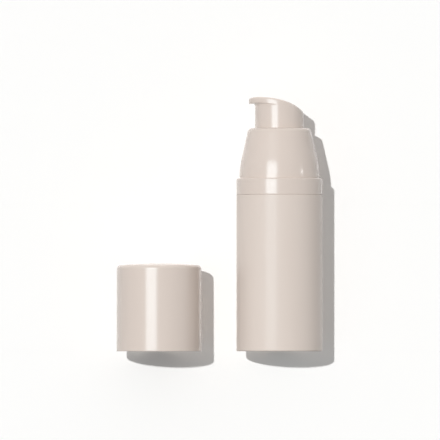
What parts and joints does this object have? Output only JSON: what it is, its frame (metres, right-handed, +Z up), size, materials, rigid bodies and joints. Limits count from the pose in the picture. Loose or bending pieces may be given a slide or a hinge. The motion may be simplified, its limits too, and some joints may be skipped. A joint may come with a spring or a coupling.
{
  "type": "airless pump bottle",
  "caption": "Slim airless lotion bottle with a press pump, a tapered dome under a lipped actuator, and a plain round overcap standing beside it.",
  "frame": {"origin": "centre of the flat base that the bottle stands on", "axes": "+Z up the bottle's axis, -X the way the actuator's lip points at rest, +Y away from the picture's camera"},
  "size_m": [0.0814, 0.034, 0.1005],
  "materials": {
    "bottle_satin": "satin pinkish-beige moulded plastic",
    "pump_gloss": "high-gloss pinkish-beige moulded plastic",
    "natural_plastic": "uncoloured moulded plastic",
    "seal": "soft grey sealing rubber",
    "steel": "bright spring steel"
  },
  "bodies": {
    "bottle": {"outer_bottle": "bottle_satin", "inner_bottle": "natural_plastic", "base_plate": "natural_plastic", "shoulder_ring": "pump_gloss", "pump_dome": "pump_gloss", "neck_closure": "natural_plastic", "neck_gasket": "seal", "pump_housing": "natural_plastic", "stem_guide": "natural_plastic", "return_spring": "steel"},
    "pump_stem": {"stem": "natural_plastic", "plunger": "natural_plastic"},
    "head": {"actuator": "pump_gloss"},
    "piston": {"pump_piston": "natural_plastic"},
    "follower": {"follower_piston": "natural_plastic"},
    "inlet_valve": {"inlet_ball": "steel"},
    "cap": {"overcap": "pump_gloss"}
  },
  "joints": [
    {"name": "head_press", "type": "slide", "parent": "bottle", "child": "pump_stem", "axis": [0, 0, -1], "range_m": [0, 0.005], "stiffness_N_per_m": 1200, "springref_m": -0.003, "deforming": ["return_spring"]},
    {"name": "head_turn", "type": "hinge", "parent": "pump_stem", "child": "head", "pos_m": [0, 0, 0.09], "axis": [0, 0, 1], "continuous": true},
    {"name": "piston_shift", "type": "slide", "parent": "pump_stem", "child": "piston", "axis": [0, 0, 1], "range_m": [0, 0.0008]},
    {"name": "follower_rise", "type": "slide", "parent": "bottle", "child": "follower", "axis": [0, 0, 1], "range_m": [0, 0.05]},
    {"name": "inlet_ball_lift", "type": "slide", "parent": "bottle", "child": "inlet_valve", "axis": [0, 0, 1], "range_m": [0, 0.001]},
    {"name": "cap_lift", "type": "slide", "parent": "bottle", "child": "cap", "axis": [0, 0, 1], "range_m": [0, 0.102]}
  ]
}
